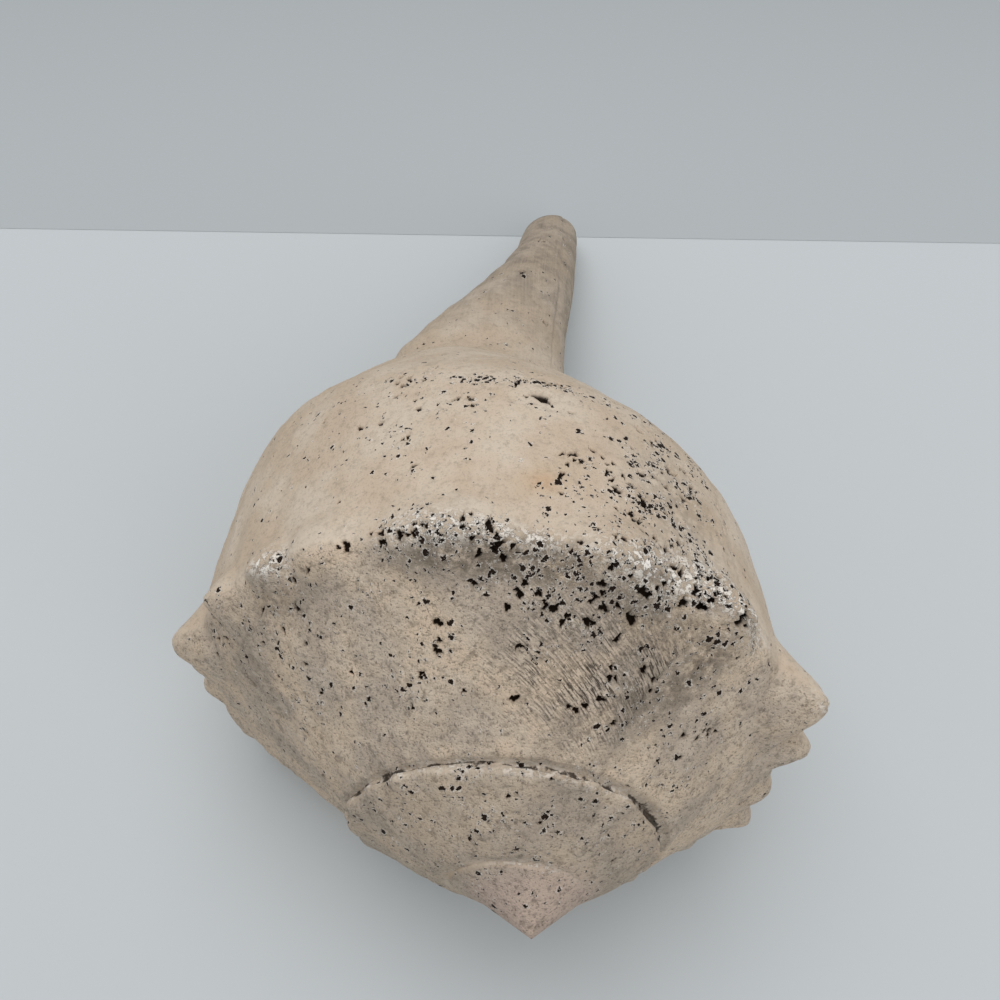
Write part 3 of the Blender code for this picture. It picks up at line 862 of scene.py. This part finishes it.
def marks(points, places, outer, bored):
    """Three sets of four shares at each point, which the finish of the shell is painted with."""
    back, born, fall, rise = places.T
    size = growth(back)
    azimuth = azimuth_of(back)
    last = outer * (back < TAU)
    chalky = np.minimum(1.0, sum(patch(azimuth, fall, where) for where in CHALKY)) * last
    stained = np.minimum(1.0, sum(patch(azimuth, fall, where) for where in STAINED)) * last
    early = suture_share(back, fall)
    crack = outer * early * np.exp(-((rise - crack_wave(points)) / (0.55 + 0.25 * size)) ** 2)
    soiled = outer * early * 0.45 * np.exp(-(rise / (1.6 * size)) ** 2)
    chalky = np.maximum(chalky, outer * early * (1.0 - last) * 0.55 * np.exp(-(fall / (2.4 * size)) ** 2))
    dense = np.minimum(1.0, sum(patch(azimuth, fall, where) for where in BORED)) * last
    dense = np.maximum(dense, 0.22 * outer * (back >= TAU) * smooth_step(2.6, 2.2, back / TAU))
    ramp = outer * smooth_step(1.5, -2.5, fall / size)
    pause = (LIP_AZIMUTH - math.radians(PAUSES[0][0])) % TAU
    before = smooth_step(0.01, -0.01, born - pause)
    striated = np.minimum(1.0, sum(patch(azimuth, fall, where) for where in STRIATED)) * last * before
    rusted = patch(azimuth, fall, RUSTED) * last
    canal = outer * smooth_step(60.0, 122.0, fall) * (back < TAU)
    wear = np.stack((chalky, np.maximum(stained, soiled), bored, dense), 1)
    spire = smooth_step(0.97, 1.03, back / TAU)
    apex = to_table(np.array((0.0, 0.0, APEX_TIP))) / MM
    cone = smooth_step(17.0, 10.0, np.linalg.norm(points - apex, axis=1))
    ground = np.stack((np.maximum(ramp, outer * cone), striated, rusted, 1.0 - outer), 1)
    seams = np.stack((crack, canal, outer * cone, outer * spire), 1)
    return wear, ground, seams


def build_shell():
    """The whole shell as one closed mesh: dressed, hollowed, bored, and marked for its finish."""
    points, places, triangles = dressed()
    filled = make_object("whelk_shell", points, triangles)
    grown = filled.data.attributes.new("grown", "FLOAT_COLOR", "POINT")
    grown.data.foreach_set("color", places.ravel())
    cut(filled, (make_object("hollow", *cavity()), make_object("canal_slot", *groove())))
    data = filled.data
    mesh = bmesh.new()
    mesh.from_mesh(data)
    bmesh.ops.triangulate(mesh, faces=mesh.faces[:])
    mesh.to_mesh(data)
    mesh.free()
    points = array_of(data.vertices, "co", 3).astype(float) / MM
    triangles = array_of(data.polygons, "vertices", 3)
    places = array_of(data.attributes["grown"].data, "color", 4).astype(float)
    outer = places[triangles].any(2).all(1).astype(float)
    middles, radii = borings(points, places, triangles, outer)
    points, places, triangles = refined(points, places, triangles, middles, radii)
    points, bored = bore(points, triangles, middles, radii)
    outer = places.any(1).astype(float)
    wear, ground, seams = marks(points, places, outer, bored)
    low, high = (np.array(corner) for corner in cad_box)
    points = np.clip(points * MM, low, high)
    made = bpy.data.meshes.new("whelk_shell")
    made.from_pydata(points.tolist(), [], triangles.tolist())
    growth_lines = np.stack((arc_of(places[:, 1]), places[:, 2], 30.0 * np.floor(places[:, 0] / TAU)), 1)
    for name, kind, key, values in (("growth", "FLOAT_VECTOR", "vector", growth_lines),
                                    ("wear", "FLOAT_COLOR", "color", wear),
                                    ("ground", "FLOAT_COLOR", "color", ground),
                                    ("seams", "FLOAT_COLOR", "color", seams)):
        made.attributes.new(name, kind, "POINT").data.foreach_set(key, values.ravel())
    made.shade_smooth()
    filled.data = made
    return filled


def put(tree, kind, *inputs, **settings):
    """A node with its settings, and its inputs given in order as values or as other nodes' outputs."""
    node = tree.nodes.new(kind)
    for name, value in settings.items():
        setattr(node, name, value)
    sockets = [socket for socket in node.inputs if socket.enabled]
    for socket, value in zip(sockets, inputs):
        if value is None:
            continue
        if isinstance(value, bpy.types.NodeSocket):
            tree.links.new(value, socket)
        else:
            socket.default_value = value
    return [socket for socket in node.outputs if socket.enabled]


def compute(tree, operation, *values):
    """One step of arithmetic."""
    return put(tree, "ShaderNodeMath", *values, operation=operation)[0]


def between(tree, value, low, high, start=0.0, end=1.0):
    """A value eased from start to end as it goes from low to high."""
    return put(tree, "ShaderNodeMapRange", value, low, high, start, end, interpolation_type="SMOOTHSTEP")[0]


def mixed(tree, share, first, second, blend="MIX"):
    """Two colours mixed by a share."""
    node = tree.nodes.new("ShaderNodeMix")
    node.data_type = "RGBA"
    node.blend_type = blend
    for socket, value in zip((node.inputs[0], node.inputs[6], node.inputs[7]), (share, first, second)):
        if isinstance(value, bpy.types.NodeSocket):
            tree.links.new(value, socket)
        else:
            socket.default_value = value if isinstance(value, float) else (*value, 1.0)
    return node.outputs[2]


def mixed_value(tree, share, first, second):
    """Two values mixed by a share."""
    return put(tree, "ShaderNodeMapRange", share, 0.0, 1.0, first, second)[0]


def mottle(tree, where, size, detail=3.0, rough=0.55):
    """Noise from 0 to 1 with lumps of one size in the units of the place given."""
    return put(tree, "ShaderNodeTexNoise", where, 1.0 / size, detail, rough)[0]


CREAM = (0.560, 0.440, 0.325)
PALE_CREAM = (0.640, 0.535, 0.425)
GREY_SHELL = (0.470, 0.385, 0.305)
TAN_SHELL = (0.660, 0.520, 0.385)
PINK_SHELL = (0.520, 0.395, 0.330)
CANAL_GREY = (0.245, 0.200, 0.155)
CHALK = (0.930, 0.870, 0.790)
STAIN = (0.125, 0.098, 0.071)
# Near black of the borings, pits, scratches and the crack: dirt in them and painted shade deep in the hollows
HOLLOW_SHADE_AND_DIRT = (0.015, 0.007, 0.003)
RUST = (0.560, 0.300, 0.120)
INNER_SHELL = (0.620, 0.480, 0.380)


def shares(tree, name):
    """Four shares stored at the points."""
    node = tree.nodes.new("ShaderNodeAttribute")
    node.attribute_name = name
    return (*put(tree, "ShaderNodeSeparateColor", node.outputs["Color"]), node.outputs["Alpha"])


def product(tree, *values):
    """All the values multiplied."""
    result = values[0]
    for value in values[1:]:
        result = compute(tree, "MULTIPLY", result, value)
    return result


def combed(tree, lines, along, across, stretch):
    """Places on the surface drawn out along one direction of arc and fall."""
    first = put(tree, "ShaderNodeVectorMath", lines, (*along, 0.0), operation="DOT_PRODUCT")[0]
    second = put(tree, "ShaderNodeVectorMath", lines, (*across, 0.0), operation="DOT_PRODUCT")[0]
    third = put(tree, "ShaderNodeSeparateXYZ", lines)[2]
    return put(tree, "ShaderNodeCombineXYZ", compute(tree, "MULTIPLY", first, stretch), second, third)[0]


def pits(tree, place, spacing, allow):
    """Irregular pits about a spacing apart, allowed by a share: the pits, and the rims round them."""
    cells = tree.nodes.new("ShaderNodeTexVoronoi")
    cells.inputs["Scale"].default_value = 1.0 / spacing
    tree.links.new(place, cells.inputs["Vector"])
    chance, girth, _ = put(tree, "ShaderNodeSeparateColor", cells.outputs["Color"])
    taken = compute(tree, "LESS_THAN", chance, allow)
    radius = put(tree, "ShaderNodeMapRange", girth, 0.0, 1.0, 0.16, 0.44)[0]
    off = compute(tree, "SUBTRACT", cells.outputs["Distance"], radius)
    inside = compute(tree, "MULTIPLY", between(tree, off, 0.03, -0.05), taken)
    rim = compute(tree, "MULTIPLY", between(tree, off, 0.20, 0.04), taken)
    return inside, compute(tree, "SUBTRACT", rim, inside)


def shell_finish():
    """Old bleached shell: cream below the shoulder, greyer above, chalky and bored along the crest."""
    material = bpy.data.materials.new("Bleached bored shell")
    material.use_nodes = True
    tree = material.node_tree
    shader = tree.nodes["Principled BSDF"]

    place = put(tree, "ShaderNodeTexCoord")[3]
    place = put(tree, "ShaderNodeVectorMath", place, operation="SCALE")[0]
    place.node.inputs["Scale"].default_value = 1.0 / MM
    lines = put(tree, "ShaderNodeAttribute", attribute_name="growth")[1]
    chalky, stained, bored, dense = shares(tree, "wear")
    ramp, striated, rusted, inner = shares(tree, "ground")
    crack, canal, cone, spire = shares(tree, "seams")
    outer = compute(tree, "SUBTRACT", 1.0, inner)

    clouds = mottle(tree, place, 12.0)
    blotches = mottle(tree, place, 4.5, 4.0, 0.6)
    grain = mottle(tree, place, 1.3, 4.0, 0.7)
    fine = mottle(tree, place, 0.45, 2.0, 0.7)
    streaks = mottle(tree, combed(tree, lines, (0.0, 1.0), (1.0, 0.0), 0.08), 1.5, 3.0)
    streaks = mixed_value(tree, cone, streaks, 0.5)
    threads = mottle(tree, combed(tree, lines, (1.0, -0.5), (0.5, 1.0), 0.10), 0.42, 4.0, 0.65)

    cream = mixed(tree, between(tree, clouds, 0.35, 0.68), CREAM, PALE_CREAM)
    upper = mixed(tree, between(tree, clouds, 0.40, 0.62), GREY_SHELL, TAN_SHELL)
    upper = mixed(tree, between(tree, blotches, 0.42, 0.66, 0.0, 0.6), upper, PALE_CREAM)
    upper = mixed(tree, compute(tree, "MULTIPLY", spire, 0.30), upper, CANAL_GREY)
    colour = mixed(tree, ramp, cream, upper)
    colour = mixed(tree, compute(tree, "MULTIPLY", cone, 0.8), colour, PINK_SHELL)
    grey = product(tree, canal, between(tree, blotches, 0.30, 0.62, 1.0, 0.55))
    colour = mixed(tree, grey, colour, CANAL_GREY)
    colour = mixed(tree, between(tree, streaks, 0.35, 0.70, 0.0, 0.15), colour, PALE_CREAM)
    soil = between(tree, grain, 0.52, 0.30, 0.0, 0.55)
    colour = mixed(tree, product(tree, soil, between(tree, ramp, 0.0, 1.0, 0.45, 1.0)), colour, STAIN)
    speckle = product(tree, between(tree, fine, 0.45, 0.34, 0.0, 0.58), between(tree, ramp, 0.0, 1.0, 0.35, 1.0))
    colour = mixed(tree, speckle, colour, STAIN)
    colour = mixed(tree, compute(tree, "MULTIPLY", rusted, 0.35), colour, RUST)

    scratch = product(tree, between(tree, threads, 0.51, 0.41), striated)
    patchy = between(tree, blotches, 0.40, 0.60)
    # Fine scratches painted in the near black of the hollows: dirt and painted shade in the grooves
    colour = mixed(tree, product(tree, scratch, patchy, 0.85), colour, HOLLOW_SHADE_AND_DIRT)
    dusty = between(tree, mottle(tree, place, 1.8, 4.0, 0.75), 0.34, 0.56)
    colour = mixed(tree, product(tree, stained, dusty, 0.8), colour, STAIN)
    flaked = between(tree, mottle(tree, place, 1.0, 3.0, 0.7), 0.47, 0.56)
    white = product(tree, chalky, flaked)
    colour = mixed(tree, white, colour, CHALK)

    warp = put(tree, "ShaderNodeTexNoise", place, 1.0 / 0.8, 3.0, 0.65)[1]
    warp = put(tree, "ShaderNodeVectorMath", warp, (0.5, 0.5, 0.5), operation="SUBTRACT")[0]
    bent = put(tree, "ShaderNodeVectorMath", warp, (1.7, 1.7, 1.7), place, operation="MULTIPLY_ADD")[0]
    crowd = between(tree, mottle(tree, place, 5.0, 3.0), 0.42, 0.60)
    allow = product(tree, compute(tree, "ADD", product(tree, dense, 1.1), 0.03), crowd, outer)
    large, large_rim = pits(tree, bent, 1.35, allow)
    allow = product(tree, compute(tree, "ADD", product(tree, dense, 0.65), 0.07), crowd, outer)
    allow = compute(tree, "ADD", allow, product(tree, stained, 0.15))
    small, small_rim = pits(tree, bent, 0.72, allow)
    rim = product(tree, compute(tree, "MAXIMUM", large_rim, small_rim), between(tree, chalky, 0.0, 0.6, 0.45, 1.0))
    colour = mixed(tree, rim, colour, CHALK)
    # Borings, small pits and the crack along the suture are painted near black: dirt in them and painted shade in
    # the holes
    speck = compute(tree, "MAXIMUM", large, small)
    gap = compute(tree, "MULTIPLY_ADD", grain, -0.6, crack)
    gap = between(tree, compute(tree, "MULTIPLY_ADD", blotches, -0.5, gap), 0.28, 0.42, 0.0, 0.88)
    hollow = compute(tree, "MAXIMUM", compute(tree, "MAXIMUM", between(tree, bored, 0.25, 0.75), speck), gap)
    colour = mixed(tree, inner, colour, mixed(tree, clouds, INNER_SHELL, PALE_CREAM))
    colour = mixed(tree, hollow, colour, HOLLOW_SHADE_AND_DIRT)
    tree.links.new(colour, shader.inputs["Base Color"])

    tree.links.new(between(tree, grain, 0.3, 0.7, 0.62, 0.85), shader.inputs["Roughness"])
    shader.inputs["Specular IOR Level"].default_value = 0.15

    rough = between(tree, ramp, 0.0, 1.0, 0.12, 0.40)
    height = product(tree, fine, rough)
    height = compute(tree, "MULTIPLY_ADD", grain, between(tree, ramp, 0.0, 1.0, 0.15, 0.60), height)
    height = compute(tree, "MULTIPLY_ADD", streaks, 0.08, height)
    height = compute(tree, "MULTIPLY_ADD", scratch, -0.20, height)
    height = compute(tree, "MULTIPLY_ADD", white, 0.30, height)
    height = compute(tree, "MULTIPLY_ADD", rim, 0.10, height)
    height = compute(tree, "MULTIPLY_ADD", speck, -0.45, height)
    bump = tree.nodes.new("ShaderNodeBump")
    bump.inputs["Distance"].default_value = MM
    tree.links.new(height, bump.inputs["Height"])
    tree.links.new(bump.outputs["Normal"], shader.inputs["Normal"])
    return material


shell = build_shell()
shell.data.materials.append(shell_finish())
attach(shell, "root")
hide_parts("shell")

# Pale sheets under and behind the shell: half size, height of the far one, and its near edge at its ends
FLOOR_HALF = 4.0
FAR_SHEET_HEIGHT = 0.0001
FAR_SHEET_EDGE = (0.1367, 0.0607)
FLOOR_COLOUR = (0.555, 0.582, 0.592)
FAR_SHEET_COLOUR = (0.441, 0.467, 0.474)


def sheet_finish(name, colour):
    """Plain pale plastic sheet, a little duller far behind the shell."""
    material = bpy.data.materials.new(name)
    material.use_nodes = True
    tree = material.node_tree
    shader = tree.nodes["Principled BSDF"]
    place = put(tree, "ShaderNodeTexCoord")[3]
    far = between(tree, put(tree, "ShaderNodeSeparateXYZ", place)[1], 0.10, 0.40)
    duller = tuple(0.68 * share for share in colour)
    tree.links.new(mixed(tree, far, colour, duller), shader.inputs["Base Color"])
    shader.inputs["Roughness"].default_value = 0.6
    shader.inputs["Specular IOR Level"].default_value = 0.2
    return material


def sheet(name, corners, colour):
    """A flat pale sheet that the shell lies on or in front of."""
    made = bpy.data.objects.new(name, bpy.data.meshes.new(name))
    made.data.from_pydata(corners, [], [(0, 1, 2, 3)])
    made.data.materials.append(sheet_finish(name, colour))
    bpy.context.scene.collection.objects.link(made)


def soft_light(name, place, size, power):
    """A square soft light that looks at the shell."""
    lamp = bpy.data.lights.new(name, "AREA")
    lamp.energy = power
    lamp.size = size
    light = bpy.data.objects.new(name, lamp)
    light.location = place
    light.rotation_euler = (Vector((0.0, 0.0, 0.04)) - light.location).to_track_quat("-Z", "Y").to_euler()
    bpy.context.scene.collection.objects.link(light)


half = FLOOR_HALF
left_edge, right_edge = FAR_SHEET_EDGE
sheet("floor", [(-half, -half, 0.0), (half, -half, 0.0), (half, half, 0.0), (-half, half, 0.0)], FLOOR_COLOUR)
sheet("far_sheet", [(x, y, FAR_SHEET_HEIGHT) for x, y in ((-half, left_edge), (half, right_edge), (half, half), (-half, half))],
      FAR_SHEET_COLOUR)

world = bpy.data.worlds.new("Soft room")
world.use_nodes = True
world.node_tree.nodes["Background"].inputs["Color"].default_value = (0.94, 0.97, 1.0, 1.0)
world.node_tree.nodes["Background"].inputs["Strength"].default_value = 0.60
bpy.context.scene.world = world
bpy.context.scene.view_settings.view_transform = "Standard"
soft_light("ceiling light", (-0.10, 0.22, 1.20), 1.1, 6.5)
soft_light("front light", (0.55, -0.75, 0.85), 0.8, 2.2)

view = bpy.data.cameras.new("camera")
view.lens = 43.2
view.sensor_width = 36.0
camera = bpy.data.objects.new("camera", view)
camera.location = (0.00301, -0.13192, 0.2557)
camera.rotation_euler = (math.radians(90.0 - 60.36), 0.0, math.radians(0.59))
bpy.context.scene.collection.objects.link(camera)
bpy.context.scene.camera = camera
